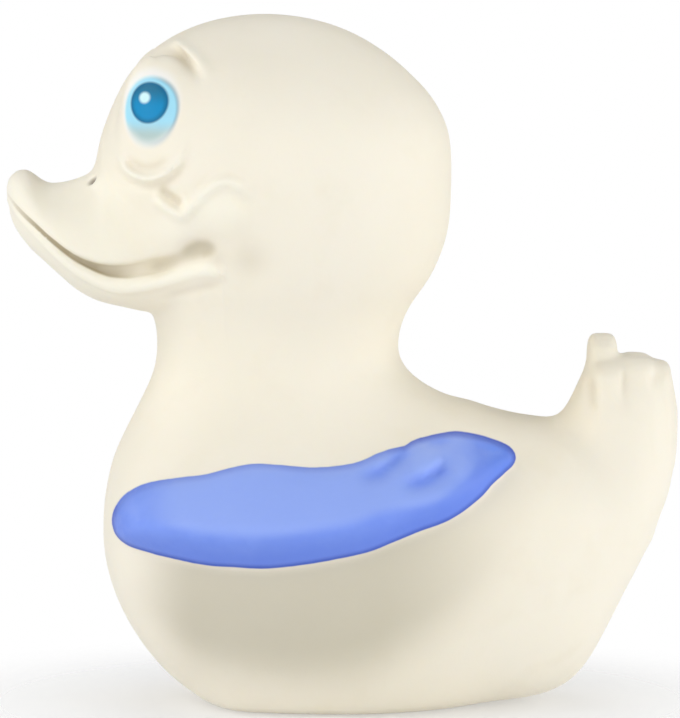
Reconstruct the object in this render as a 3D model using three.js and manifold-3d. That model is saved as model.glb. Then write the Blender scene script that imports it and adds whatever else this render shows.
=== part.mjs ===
// Rubber bath duck: one sealed natural-rubber moulding, modelled as one solid.
// Millimetres, +Z up. The duck faces -Y, its left side is +X, and it stands on
// the flat under its body at z = 0.
import * as THREE from 'three';
import Module from 'manifold-3d';
import { mergeVertices } from 'three/addons/utils/BufferGeometryUtils.js';

// ---- driving dimensions ----------------------------------------------------
const CREAM = 0xf1ead8;        // unpainted rubber
const EYE_TURN = 27;           // degrees the eye looks forward of sideways
const EYE_CENTRE = [12.44, -25.86, 86.75];
const EYE_RADII = [5.0, 6.4, 8.6];          // out, along, up
const NOSTRIL = [3.8, -36.1, 76.4];
const NOSTRIL_RADIUS = 0.6;
const LIP_INSET = 2.2;         // depth of the mouth line
const WING_MIDDLE = [-4.5, 30.4];   // y, z
const WING_RISE = 3.4;         // how far the wing stands proud of the body
const WING_EDGE = 1.5;         // how far the wing's rim lies inside the body
const WING_ROOT = 8.0;         // how far the wing's solid runs into the body

// body, from breast to rear: y, half-width, underside z, widest z, top z
const BODY = [
  [-34.46, 0.00, 25.34, 25.34, 25.34],
  [-34.05, 7.98, 20.54, 25.39, 30.33],
  [-32.84, 14.71, 16.24, 25.54, 35.00],
  [-30.84, 19.67, 11.91, 25.79, 39.98],
  [-28.10, 23.24, 7.66, 26.08, 44.30],
  [-24.68, 25.98, 3.85, 26.31, 47.30],
  [-20.64, 28.14, 0.71, 26.45, 48.89],
  [-16.06, 29.72, -3.00, 26.45, 49.67],
  [-11.05, 30.78, -4.87, 26.30, 50.07],
  [-5.69, 31.25, -5.56, 26.12, 49.90],
  [-0.11, 31.26, -5.80, 26.06, 49.47],
  [5.59, 30.80, -5.24, 26.10, 48.33],
  [11.29, 29.71, -3.97, 26.18, 46.41],
  [16.87, 28.07, -1.90, 26.28, 44.42],
  [22.23, 25.85, -0.02, 26.41, 42.99],
  [27.24, 23.10, 1.00, 26.62, 41.82],
  [31.82, 20.04, 2.48, 26.74, 40.59],
  [35.86, 16.83, 6.31, 26.57, 38.83],
  [39.28, 13.62, 12.38, 26.08, 36.50],
  [42.02, 10.42, 17.74, 25.56, 33.53],
  [44.02, 7.11, 21.45, 25.19, 30.21],
  [45.23, 3.70, 23.35, 24.98, 27.42],
  [45.64, 0.00, 24.91, 24.91, 24.91],
];
// head and neck, from inside the body to the crown: z, middle y, half-length, half-width
const HEAD = [
  [16.16, -8.12, 0.00, 0.00],
  [16.52, -8.12, 4.01, 4.01],
  [17.59, -8.12, 7.97, 7.97],
  [19.36, -8.12, 11.87, 11.87],
  [21.79, -8.19, 15.46, 15.46],
  [24.85, -8.40, 18.70, 18.70],
  [28.47, -8.41, 21.38, 21.38],
  [32.61, -7.97, 23.32, 23.26],
  [37.18, -7.00, 23.85, 23.36],
  [42.11, -6.91, 22.74, 21.73],
  [47.32, -8.21, 19.41, 18.54],
  [52.72, -9.00, 17.63, 16.99],
  [58.21, -8.77, 19.15, 18.41],
  [63.70, -8.20, 21.98, 21.02],
  [69.09, -8.50, 23.86, 22.78],
  [74.30, -9.01, 24.68, 23.57],
  [79.23, -9.26, 24.94, 23.82],
  [83.80, -9.35, 24.35, 23.32],
  [87.94, -9.72, 22.53, 21.64],
  [91.57, -10.17, 19.79, 19.06],
  [94.62, -10.47, 16.79, 16.21],
  [97.06, -10.87, 13.28, 12.85],
  [98.82, -11.07, 9.62, 9.32],
  [99.90, -11.14, 5.16, 5.01],
  [100.26, -11.16, 0.00, 0.00],
];
// tail stump: z, middle y, half-length, half-width
const TAIL = [
  [13.30, 34.21, 0.00, 0.00],
  [13.88, 34.18, 2.43, 3.64],
  [15.59, 34.11, 4.68, 7.02],
  [18.32, 34.20, 7.20, 10.79],
  [21.87, 34.75, 8.81, 13.11],
  [26.01, 36.04, 9.39, 13.44],
  [30.45, 37.48, 9.55, 13.00],
  [34.88, 38.69, 9.30, 12.21],
  [39.02, 39.66, 8.78, 11.48],
  [42.57, 40.47, 7.94, 10.86],
  [45.30, 41.02, 6.79, 9.84],
  [47.01, 41.17, 4.44, 6.60],
  [47.60, 41.16, 0.00, 0.00],
];
// tail feathers: x, y, z of the middle, radii x, y, z
const FEATHERS = [
  [0, 37.9, 45.4, 4.6, 2.5, 8.0],
  [6.0, 37.9, 42.5, 4.2, 2.5, 7.0],
  [-6.0, 37.9, 42.5, 4.2, 2.5, 7.0],
  [4.2, 43.2, 42.2, 4.2, 2.2, 7.7],
  [-4.2, 43.2, 42.2, 4.2, 2.2, 7.7],
  [0, 46.2, 41.0, 4.6, 1.9, 7.3],
];
// upper bill: y, half-width, lip z, top z
const BILL_UPPER = [
  [-48.45, 0.00, 73.88, 74.93],
  [-48.10, 3.45, 73.30, 75.77],
  [-47.41, 5.58, 72.26, 76.53],
  [-46.36, 7.53, 70.75, 76.84],
  [-44.97, 9.23, 69.04, 76.73],
  [-42.88, 10.92, 67.07, 76.27],
  [-40.10, 12.24, 64.92, 76.08],
  [-36.97, 13.10, 63.23, 76.63],
  [-33.49, 13.78, 62.34, 77.76],
  [-29.66, 14.55, 62.41, 78.95],
  [-25.48, 15.58, 63.97, 80.00],
  [-21.31, 16.35, 65.80, 80.33],
  [-17.83, 14.68, 66.64, 79.55],
  [-15.39, 11.05, 67.00, 78.07],
  [-13.65, 0.00, 67.24, 75.17],
];
// lower bill: y, half-width, lip z, underside z
const BILL_LOWER = [
  [-48.09, 0.00, 72.69, 72.07],
  [-47.75, 3.21, 72.03, 71.24],
  [-47.06, 5.17, 70.87, 69.78],
  [-46.02, 6.93, 69.43, 68.04],
  [-44.65, 8.56, 67.82, 66.04],
  [-42.58, 10.22, 65.93, 63.85],
  [-39.82, 11.56, 63.87, 61.39],
  [-36.72, 12.49, 62.21, 59.36],
  [-33.28, 13.23, 61.20, 58.03],
  [-29.49, 13.99, 61.13, 57.09],
  [-25.35, 15.01, 62.29, 56.41],
  [-21.22, 15.76, 64.27, 56.33],
  [-17.77, 14.07, 64.74, 56.86],
  [-15.36, 10.78, 64.70, 58.07],
  [-13.64, 0.00, 64.20, 59.80],
];
// wing outline seen from the side: y, z
const WING = [
  [-32.47, 28.27],
  [-32.04, 30.01],
  [-30.29, 32.47],
  [-27.36, 34.20],
  [-23.26, 35.20],
  [-19.17, 35.85],
  [-15.92, 36.75],
  [-12.69, 37.50],
  [-9.45, 37.48],
  [-6.22, 37.17],
  [-3.01, 37.11],
  [0.22, 37.37],
  [2.64, 37.89],
  [5.05, 39.00],
  [7.49, 39.83],
  [9.91, 40.77],
  [13.14, 41.49],
  [17.20, 41.69],
  [20.49, 40.81],
  [22.98, 39.67],
  [24.47, 38.24],
  [24.58, 37.61],
  [23.41, 36.55],
  [21.32, 34.51],
  [18.86, 32.25],
  [15.99, 30.39],
  [13.14, 29.12],
  [9.09, 27.83],
  [6.67, 26.50],
  [4.25, 25.53],
  [1.02, 24.94],
  [-3.01, 24.16],
  [-7.02, 23.53],
  [-11.07, 23.22],
  [-15.11, 23.28],
  [-19.17, 23.49],
  [-23.26, 24.10],
  [-27.36, 24.84],
  [-30.29, 25.53],
  [-31.81, 26.38],
  [-32.47, 27.48],
];
// soft relief of the face: middle x, y, z, radii, turn about z in degrees
const RELIEF = [
  [9.4, -23.4, 95.2, 2.2, 4.0, 1.5, 52],     // brow
  [20.4, -16.8, 74.0, 3.0, 5.0, 4.4, 15],    // cheek
];

// ---- helpers ---------------------------------------------------------------
const wasm = await Module();
wasm.setup();

function solid(geometry) {
  let g = geometry.index ? geometry : geometry.clone();
  g.deleteAttribute('normal');
  g.deleteAttribute('uv');
  g = mergeVertices(g, 1e-4);
  const p = g.attributes.position.array;
  const tri = Array.from(g.index.array);
  let volume = 0;
  const keep = [];
  for (let i = 0; i < tri.length; i += 3) {
    const [a, b, c] = [tri[i], tri[i + 1], tri[i + 2]];
    if (a === b || b === c || a === c) continue;
    keep.push(a, b, c);
    const [A, B, C] = [a, b, c].map((k) => new THREE.Vector3(p[3 * k], p[3 * k + 1], p[3 * k + 2]));
    volume += A.dot(B.cross(C));
  }
  if (volume < 0) for (let i = 0; i < keep.length; i += 3) [keep[i], keep[i + 1]] = [keep[i + 1], keep[i]];
  return new wasm.Manifold(new wasm.Mesh({
    numProp: 3,
    vertProperties: new Float32Array(p),
    triVerts: new Uint32Array(keep),
  }));
}

// A sphere whose rings are moved to the given stations; its poles are the first
// and the last of them.
function loft(stations, around, place) {
  const g = new THREE.SphereGeometry(1, around, stations.length - 1);
  const p = g.attributes.position;
  for (let i = 0; i < p.count; i++) {
    const row = Math.floor(i / (around + 1));
    const turn = ((i % (around + 1)) % around) / around * 2 * Math.PI;
    p.setXYZ(i, ...place(stations[row], Math.cos(turn), Math.sin(turn), row));
  }
  return solid(g);
}

function ellipsoid(centre, radii, turn, around, rows) {
  const g = new THREE.SphereGeometry(1, around, rows);
  g.rotateX(Math.PI / 2);
  g.scale(...radii);
  g.rotateZ(THREE.MathUtils.degToRad(turn));
  g.translate(...centre);
  return solid(g);
}

function along(table, y, column) {
  let i = 0;
  while (i < table.length - 2 && y > table[i + 1][0]) i++;
  const t = THREE.MathUtils.clamp((y - table[i][0]) / (table[i + 1][0] - table[i][0]), 0, 1);
  return THREE.MathUtils.lerp(table[i][column], table[i + 1][column], t);
}

// ---- the shapes ------------------------------------------------------------
const body = loft(BODY, 36, ([y, w, low, mid, top], c, s) =>
  [w * c, y, mid + (s > 0 ? top - mid : mid - low) * s]);
const head = loft(HEAD, 34, ([z, y, a, b], c, s) => [b * c, y + a * s, z]);
const tail = loft(TAIL, 18, ([z, y, a, b], c, s) => [b * c, y + a * s, z]);

const upper = loft(BILL_UPPER, 20, ([y, w, lip, top], c, s) =>
  [w * c, y, lip + (w > 0 && s > 1e-9 ? (top - lip) * s : 0)]);
const lower = loft(BILL_LOWER, 20, ([y, w, lip, low], c, s) =>
  [w * c, y, lip + (w > 0 && s < -1e-9 ? (lip - low) * s : 0)]);
// what closes the mouth behind the lips
const inner = loft(BILL_LOWER.map(([y, w]) => [y + LIP_INSET * 0.8, Math.max(w - LIP_INSET, 0)]), 16, ([y, w], c, s) => {
  const high = along(BILL_UPPER, y, 2), low = along(BILL_LOWER, y, 2);
  return [w * c, y, (high + low) / 2 + ((high - low) / 2 + 1) * (w > 0 ? s : 0)];
});

// the body's half-width at a height
function bodyHalfWidth(y, z) {
  const [w, low, mid, top] = [1, 2, 3, 4].map((column) => along(BODY, y, column));
  const t = (z - mid) / (z > mid ? top - mid : mid - low);
  return w * Math.sqrt(Math.max(1 - t * t, 0));
}
// wing: a pad crowned over the body, [share of the outline, height from rim to crown]
const PAD = [[0, 1], [0.4, 0.98], [0.66, 0.92], [0.84, 0.76], [0.95, 0.46], [1, 0], [0.8, -1], [0, -1]];
function wing(side) {
  const [my, mz] = WING_MIDDLE;
  const n = WING.length;
  return loft(PAD, n, ([share, h], c, s) => {
    const k = ((Math.round(Math.atan2(s, c) / (2 * Math.PI) * n) % n) + n) % n;
    const y = my + (WING[k][0] - my) * share, z = mz + (WING[k][1] - mz) * share;
    const x = bodyHalfWidth(y, z) + (h >= 0 ? (WING_RISE + WING_EDGE) * h - WING_EDGE : -WING_ROOT);
    return [side * x, y, z];
  });
}

let duck = body.add(head).add(tail).add(upper).add(lower).add(inner);
for (const [x, y, z, rx, ry, rz] of FEATHERS) duck = duck.add(ellipsoid([x, y, z], [rx, ry, rz], 0, 10, 8));
for (const side of [1, -1]) {
  duck = duck.add(ellipsoid([side * EYE_CENTRE[0], EYE_CENTRE[1], EYE_CENTRE[2]], EYE_RADII, -side * EYE_TURN, 16, 12));
  duck = duck.add(wing(side));
  for (const [x, y, z, rx, ry, rz, turn] of RELIEF)
    duck = duck.add(ellipsoid([side * x, y, z], [rx, ry, rz], -side * turn, 10, 8));
  duck = duck.subtract(ellipsoid([side * NOSTRIL[0], NOSTRIL[1], NOSTRIL[2]], [NOSTRIL_RADIUS, NOSTRIL_RADIUS, NOSTRIL_RADIUS], 0, 8, 6));
}
// the flat it stands on
const below = new THREE.BoxGeometry(200, 200, 40);
below.translate(0, 0, -20);
duck = duck.subtract(solid(below));

const cut = duck.getMesh();
const geometry = new THREE.BufferGeometry();
const positions = new Float32Array(cut.numVert * 3);
for (let i = 0; i < cut.numVert; i++)
  for (let k = 0; k < 3; k++) positions[3 * i + k] = cut.vertProperties[cut.numProp * i + k];
geometry.setAttribute('position', new THREE.BufferAttribute(positions, 3));
geometry.setIndex(new THREE.BufferAttribute(new Uint32Array(cut.triVerts), 1));
// origin under the middle of the duck
geometry.computeBoundingBox();
const box = geometry.boundingBox;
geometry.translate(-(box.min.x + box.max.x) / 2, -(box.min.y + box.max.y) / 2, -box.min.z);
geometry.computeVertexNormals();

const rubber = new THREE.MeshStandardMaterial({ color: CREAM, roughness: 0.6, metalness: 0 });
const mesh = new THREE.Mesh(geometry, rubber);
mesh.name = 'duck';

const group = new THREE.Group();
group.add(mesh);
export default group;
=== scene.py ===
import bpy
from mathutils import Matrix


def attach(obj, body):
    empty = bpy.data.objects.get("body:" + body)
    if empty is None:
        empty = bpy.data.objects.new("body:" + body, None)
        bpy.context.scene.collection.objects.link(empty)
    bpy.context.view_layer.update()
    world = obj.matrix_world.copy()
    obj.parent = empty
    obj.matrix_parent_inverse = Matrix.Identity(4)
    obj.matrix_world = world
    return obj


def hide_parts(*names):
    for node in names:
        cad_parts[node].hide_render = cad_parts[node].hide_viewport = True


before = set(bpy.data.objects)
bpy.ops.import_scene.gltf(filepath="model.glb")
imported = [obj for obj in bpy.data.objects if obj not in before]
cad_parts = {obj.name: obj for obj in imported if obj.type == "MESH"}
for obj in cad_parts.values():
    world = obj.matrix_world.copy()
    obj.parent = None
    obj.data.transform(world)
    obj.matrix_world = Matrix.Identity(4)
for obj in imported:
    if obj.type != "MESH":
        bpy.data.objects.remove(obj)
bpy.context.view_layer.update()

import math
import bpy
import numpy as np
from mathutils import Vector

# ---------------------------------------------------------------------------
# A one-piece natural-rubber bath duck. It faces -Y, its left side is +X and
# it stands on z = 0. The shape is one field of millimetres whose zero level
# is the skin; the mesh is taken from it at the end. Tables read from the
# photograph are in columns and rows of its 680 x 718 frame.
# ---------------------------------------------------------------------------
K = 0.145                      # mm a pixel at the duck's middle plane
EL = math.radians(5.0)         # the camera looks down this much
DIST = 1000.0                  # camera distance, mm
SE, CE = math.sin(EL), math.cos(EL)
ZMID = (701.0 - 359.0) * K / CE
YMID = -1.0 * K
SHIFT_Y = 0.07                 # the CAD origin is under the middle of its box


def rz(row):
    return (701.0 - np.asarray(row, float)) * K / CE


def cy(col):
    return (np.asarray(col, float) - 341.0) * K


def side(col, row, x):
    """y, z of a point seen at col, row that lies x from the middle plane"""
    y = z = 0.0
    depth = x * CE
    for _ in range(4):
        s = (DIST - depth) / DIST
        y = YMID + (col - 340.0) * K * s
        z = ZMID + ((359.0 - row) * K * s + x * SE) / CE
        depth = x * CE + (z - ZMID) * SE
    return y, z


def pchip(xs, ys, q):
    h = np.diff(xs)
    d = np.diff(ys) / h
    m = np.zeros_like(ys)
    for i in range(1, len(xs) - 1):
        if d[i - 1] * d[i] > 0:
            w1, w2 = 2 * h[i] + h[i - 1], h[i] + 2 * h[i - 1]
            m[i] = (w1 + w2) / (w1 / d[i - 1] + w2 / d[i])
    m[0], m[-1] = d[0], d[-1]
    i = np.clip(np.searchsorted(xs, q) - 1, 0, len(xs) - 2)
    t = (q - xs[i]) / h[i]
    t2, t3 = t * t, t * t * t
    v = (2*t3 - 3*t2 + 1)*ys[i] + (t3 - 2*t2 + t)*h[i]*m[i] + (-2*t3 + 3*t2)*ys[i+1] + (t3 - t2)*h[i]*m[i+1]
    v = np.where(q < xs[0], ys[0] + m[0] * (q - xs[0]), v)
    return np.where(q > xs[-1], ys[-1] + m[-1] * (q - xs[-1]), v)


class Tab:
    """a smooth curve through a short table of knots"""

    def __init__(self, xs, ys, s=1.0, pad=10.0, step=0.05):
        xs, ys = np.asarray(xs, float), np.asarray(ys, float)
        o = np.argsort(xs)
        xs, ys = xs[o], ys[o]
        self.q = np.arange(xs[0] - pad, xs[-1] + pad, step)
        v = pchip(xs, ys, self.q)
        n = int(np.ceil(4 * s / step))
        k = np.exp(-0.5 * (np.arange(-n, n + 1) * step / s) ** 2)
        k /= k.sum()
        ve = np.concatenate([v[0] + (v[1] - v[0]) * np.arange(-n, 0), v, v[-1] + (v[-1] - v[-2]) * np.arange(1, n + 1)])
        self.v = np.convolve(ve, k, mode="valid")

    def __call__(self, x):
        return np.interp(x, self.q, self.v)


def smin(a, b, k):
    h = np.clip(0.5 + 0.5 * (b - a) / k, 0, 1)
    return b + (a - b) * h - k * h * (1 - h)


def smax(a, b, k):
    return -smin(-a, -b, k)


def sstep(a, b, x):
    t = np.clip((x - a) / (b - a), 0, 1)
    return t * t * (3 - 2 * t)


# ---- head and neck: row, front column, back column -------------------------
HEAD = np.array([
    [15.5, 265, 265], [22.5, 210, 321], [31, 187, 345.5], [40, 169, 364], [50, 154.5, 379.5], [60, 143, 394], [75, 129.5, 410],
    [90, 121, 425.5], [110, 111.5, 439], [130, 104, 447.5], [150, 99, 450.5], [165, 97.5, 451], [180, 100, 451],
    [195, 104.5, 450.5], [210, 110, 450], [230, 118, 447.5], [250, 127, 442], [270, 136, 433.5], [285, 142, 424.5], [300, 148, 413],
    [312, 152.5, 406], [325, 156, 401], [337, 157.5, 398.5], [350, 157, 397.5], [362, 156, 399], [375, 154, 404],
    [390, 150, 412], [405, 146, 421], [420, 142.5, 429], [440, 137, 436], [460, 131, 438], [480, 130, 433],
    [520, 145, 420], [560, 190, 380], [590, 285, 285]])
head_yc = Tab(rz(HEAD[:, 0]), cy((HEAD[:, 1] + HEAD[:, 2]) / 2), 1.2)
head_a2 = Tab(rz(HEAD[:, 0]), ((HEAD[:, 2] - HEAD[:, 1]) / 2 * K) ** 2, 0.9)
head_r = Tab(rz([12, 100, 165, 210, 250, 300, 337, 375, 400, 430, 480, 590]),
             [0.97, 0.96, 0.955, 0.967, 1.0, 1.07, 1.12, 1.11, 1.07, 1.03, 1.0, 1.0], 2.5)


def g_head(x, y, z):
    return (x / head_r(z)) ** 2 + (y - head_yc(z)) ** 2 - head_a2(z)


# ---- body: column against half-width (mm), top row, bottom row, widest row --
BODY_W = np.array([
    [103, 0], [106, 8.5], [110, 12.3], [116, 15.7], [125, 18.9], [138, 21.8], [155, 24.3], [180, 26.8], [210, 28.8],
    [250, 30.4], [290, 31.2], [330, 31.3], [380, 30.8], [430, 29.3], [480, 26.8], [530, 23.0], [570, 19.0],
    [600, 15.3], [622, 11.5], [636, 8.4], [645, 5.2], [650, 0]])
BODY_T = np.array([
    [103, 527], [105, 503], [108, 485], [112, 470], [118, 454], [126, 438.5], [136, 423.5], [155, 402.5], [180, 384],
    [220, 366], [280, 358], [340, 364], [380, 374.5], [402, 382], [429, 390.5], [447, 396], [470, 401], [488, 407],
    [520, 414.5], [545, 418], [570, 426], [600, 441], [622, 463], [636, 485], [645, 507], [650, 528]])
BODY_B = np.array([
    [103, 527], [105, 553], [108, 568], [112, 582], [118, 598], [126, 615], [136, 632], [146, 647], [155, 658],
    [165, 669], [178, 681], [192, 691], [205, 701], [225, 718], [245, 730], [290, 738], [335, 741], [380, 737],
    [420, 728], [455, 716], [490, 704], [520, 699], [546, 692.5], [568, 682], [588, 661], [604, 632], [619, 602],
    [631, 573], [642, 546], [650, 528]])
BODY_M = np.array([[103, 527], [155, 521], [210, 519], [330, 522], [480, 520], [570, 517], [650, 528]])
body_zm = Tab(cy(BODY_M[:, 0]), rz(BODY_M[:, 1]), 2.0)
body_w2 = Tab(cy(BODY_W[:, 0]), BODY_W[:, 1] ** 2, 0.8)
body_u2 = Tab(cy(BODY_T[:, 0]), (rz(BODY_T[:, 1]) - body_zm(cy(BODY_T[:, 0]))) ** 2, 0.8)
body_l2 = Tab(cy(BODY_B[:, 0]), (body_zm(cy(BODY_B[:, 0])) - rz(BODY_B[:, 1])) ** 2, 0.8)
BY0, BY1 = float(cy(103)) + 0.35, float(cy(650)) - 0.35


def g_body(x, y, z):
    yc = np.clip(y, BY0, BY1)
    w2c = np.maximum(body_w2(yc), 0.3)
    qu = w2c / np.maximum(body_u2(yc), 0.3)
    ql = w2c / np.maximum(body_l2(yc), 0.3)
    dz = z - body_zm(y)
    t = sstep(-4, 4, dz)
    return x * x + dz * dz * (ql * (1 - t) + qu * t) - body_w2(y)


# ---- tail: stump (row, front, back, width ratio) and feathers ---------------
TAIL = np.array([
    [358, 622, 622, 1.35], [361, 598, 647, 1.4], [366, 590, 657, 1.42], [374, 584, 664.5, 1.42], [384, 578, 670, 1.4],
    [398, 571, 674.5, 1.38], [410, 564, 676.5, 1.34], [430, 556, 676.5, 1.3], [450, 549, 675.5, 1.3], [470, 543, 673, 1.32],
    [500, 532, 666.5, 1.38], [530, 523, 650, 1.45], [560, 520, 631, 1.5], [590, 540, 606, 1.5], [610, 573, 573, 1.5]])
tail_yc = Tab(rz(TAIL[:, 0]), cy((TAIL[:, 1] + TAIL[:, 2]) / 2), 1.0)
tail_a2 = Tab(rz(TAIL[:, 0]), ((TAIL[:, 2] - TAIL[:, 1]) / 2 * K) ** 2, 0.6)
tail_r = Tab(rz(TAIL[:, 0]), TAIL[:, 3], 1.5)


def g_tail(x, y, z):
    return (x / np.clip(tail_r(z), 1.25, 1.6)) ** 2 + (y - tail_yc(z)) ** 2 - tail_a2(z)


# x mm, column, top row, half columns, half-width mm, half height rows, lean in columns
FEATHERS = [
    (0.0, 602, 333, 15.5, 5.2, 60, 0), (6.0, 606.5, 360, 16.0, 4.2, 46, 0),
    (4.2, 637.5, 355.5, 15.0, 4.4, 52, 0), (0.0, 657.5, 361, 13.5, 6.0, 52, 0)]


def g_feather(f):
    fx, c, top, rc, rx, h, lean = f
    yc, zc, ry, rh = float(cy(c)), float(rz(top + h)), rc * K, h * K
    return lambda x, y, z: ((x - fx) / rx) ** 2 + ((y - yc) / ry) ** 4 + ((z - zc) / rh) ** 8 - 1


# ---- bill: the two rims as they are seen (column, row, half-width mm), and the top
# and bottom lines in the middle plane (column, row)
UPPER = [
    (7, 191, 0), (8.5, 193.5, 2.8), (11, 197.5, 4.5), (16, 203.5, 6.2), (24, 212, 8.1), (32, 219.5, 9.5), (40, 227, 10.5),
    (48, 234.5, 11.2), (56, 241, 11.8), (64, 247.5, 12.2), (72, 253, 12.6), (80, 257.5, 12.9), (90, 261.5, 13.2),
    (100, 264, 13.5), (112, 265.3, 13.8), (125, 264.8, 14.2), (140, 262, 14.7), (155, 257.5, 15.2), (170, 252, 15.8),
    (185, 246.5, 16.3), (195, 241, 15.9), (205, 238, 14.5), (225, 238, 11.0), (240, 238, 7.0), (247, 238, 0)]
LOWER = [
    (9, 196.5, 0), (10.3, 199.5, 2.6), (12.5, 203.5, 4.2), (16.5, 209.3, 5.8), (24, 218, 7.8), (32, 225.5, 9.25), (40, 233, 10.3),
    (48, 240.5, 11.1), (56, 247.5, 11.8), (64, 254, 12.3), (72, 260, 12.8), (80, 265, 13.2), (90, 270, 13.6),
    (100, 274.5, 13.9), (112, 278, 14.2), (125, 279, 14.6), (140, 277.5, 15.1), (155, 275, 15.7), (170, 271, 16.7),
    (185, 266.5, 18.1), (200, 263, 19.85), (208, 262.5, 20.5), (214, 263.5, 20.8), (218, 265, 20.5), (221, 266, 19.2),
    (224, 267, 15.0), (226, 267, 0)]
TOP = np.array([
    [6.5, 187], [8, 182], [11, 177], [15, 173], [20, 170.5], [26, 170], [32, 172.5], [38, 177], [45, 181.5], [52, 183.5],
    [60, 183], [70, 181], [80, 178], [86, 175.5], [92, 173], [97, 170], [101, 166], [104, 161], [109, 154], [125, 149],
    [150, 148], [200, 149], [225, 158], [240, 170], [247, 185]])
UNDER = np.array([
    [7, 198], [8.5, 207], [11, 216], [16, 227.5], [24, 239], [32, 248.5], [45, 260], [60, 273.5], [80, 290],
    [100, 300], [125, 306], [150, 311], [175, 313], [200, 313], [215, 308], [222, 300], [226, 290]])
_u = np.array([[*side(c, r, w), w] for c, r, w in UPPER])
_l = np.array([[*side(c, r, w), w] for c, r, w in LOWER])
up_t = Tab(cy(TOP[:, 0]), rz(TOP[:, 1]), 0.25)
up_m = Tab(_u[:-1, 0], _u[:-1, 1], 0.3)
up_w2 = Tab(_u[:, 0], _u[:, 2] ** 2, 0.3)
lo_m = Tab(_l[:-2, 0], _l[:-2, 1], 0.3)
lo_b = Tab(cy(UNDER[:, 0]), rz(UNDER[:, 1]), 0.3)
lo_w2 = Tab(_l[:, 0], _l[:, 2] ** 2, 0.25)
lo_i2 = Tab(_l[:, 0], np.maximum(_l[:, 2] - 0.45, 0) ** 2, 0.25)
UY0, UY1 = float(cy(9)), float(cy(236))
LY0, LY1 = float(cy(11)), float(cy(222))
bead_r = Tab(cy([7, 20, 40, 70, 120, 200, 226]), [0.5, 0.6, 0.75, 0.95, 1.12, 1.18, 1.15], 1.0)
groove = Tab(cy([6, 12, 20, 30, 40, 60, 90, 110, 125, 140, 160, 185, 205]),
             [0.22, 0.28, 0.34, 0.42, 0.55, 0.85, 1.35, 1.4, 1.3, 1.15, 1.0, 0.95, 1.1], 1.0)


def g_up(x, y, z):
    yc = np.clip(y, UY0, UY1)
    h = np.maximum(up_t(yc) - up_m(yc), 0.4)
    return x * x + np.maximum(z - up_m(y), 0) ** 2 * (np.maximum(up_w2(yc), 0.05) / h ** 2) - up_w2(y)


def g_lo(x, y, z):
    yc = np.clip(y, LY0, LY1)
    h = np.maximum(lo_m(yc) - lo_b(yc), 0.3)
    d = np.maximum(lo_m(y) - z, 0) / h
    return x * x + (0.35 * d ** 2 + 0.65 * d ** 3) * np.maximum(lo_i2(yc), 0.05) - lo_i2(y)


def plan(w2, x, y, e=0.02):
    """distance from a rim seen from above, inside below 0"""
    v = x * x - w2(y)
    gy = (w2(y + e) - w2(y - e)) / (2 * e)
    return v / np.sqrt(4 * x * x + gy * gy + 0.04)


def f_bill(x, y, z):
    """upper bill, lower bill, and the roll round the lower lip"""
    u = smax(dist(g_up, x, y, z), up_m(y) - z, 0.4)
    l = smax(dist(g_lo, x, y, z), z - lo_m(y), 0.5)
    r = bead_r(y)
    roll = np.sqrt((plan(lo_w2, x, y) + r - 0.2) ** 2 + (z - lo_m(y) + r) ** 2) - r
    return u, smin(l, roll, 0.6)


def f_mouth(x, y, z):
    """what closes the mouth behind the lips: a groove, deepest half way along"""
    a, b = up_m(y), lo_m(y)
    t = np.clip((z - 0.5 * (a + b)) / np.maximum(0.5 * (a - b), 0.1), -1, 1)
    return np.maximum(plan(up_w2, x, y) + groove(y) * (1 - 0.15 * t), np.abs(z - 0.5 * (a + b)) - 0.5 * (a - b) - 0.5)


def dist(g, x, y, z, e=0.02):
    v = g(x, y, z)
    gx, gy, gz = (g(x + e, y, z) - v) / e, (g(x, y + e, z) - v) / e, (g(x, y, z + e) - v) / e
    return v / np.sqrt(gx * gx + gy * gy + gz * gz + 1e-9)


def ell(x, y, z, c, r):
    px, py, pz = (x - c[0]) / r[0], (y - c[1]) / r[1], (z - c[2]) / r[2]
    k0 = np.sqrt(px * px + py * py + pz * pz)
    k1 = np.sqrt((px / r[0]) ** 2 + (py / r[1]) ** 2 + (pz / r[2]) ** 2)
    return k0 * (k0 - 1) / np.maximum(k1, 1e-6)


# ---- eye: a shallow dome that looks sideways and a little forward -----------
EYE_A = math.radians(27.0)
EYE_R = (5.0, 6.4, 8.6)
EYE_N = np.array([math.cos(EYE_A), -math.sin(EYE_A), 0.0])
EYE_T = np.array([math.sin(EYE_A), math.cos(EYE_A), 0.0])
EYE_P = np.array([16.9, *side(147.0, 114.0, 16.9)])
EYE_C = EYE_P - EYE_R[0] * EYE_N


def f_eye(x, y, z):
    dx, dy, dz = x - EYE_C[0], y - EYE_C[1], z - EYE_C[2]
    return ell(dx * EYE_N[0] + dy * EYE_N[1], dx * EYE_T[0] + dy * EYE_T[1], dz, (0, 0, 0), EYE_R)


# ---- relief drawn on the side view: ridges, creases and the wing ------------
def curve(pts, n=12, closed=False):
    p = np.asarray(pts, float)
    m = len(p)
    out = []
    for i in range(m if closed else m - 1):
        if closed:
            a, b, c, d = p[(i - 1) % m], p[i], p[(i + 1) % m], p[(i + 2) % m]
        else:
            a, b, c, d = p[max(i - 1, 0)], p[i], p[i + 1], p[min(i + 2, m - 1)]
        for t in np.arange(n) / n:
            out.append(0.5 * (2*b + (c - a)*t + (2*a - 5*b + 4*c - d)*t*t + (3*b - a - 3*c + d)*t**3))
    if not closed:
        out.append(p[-1])
    return np.array(out)


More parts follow.
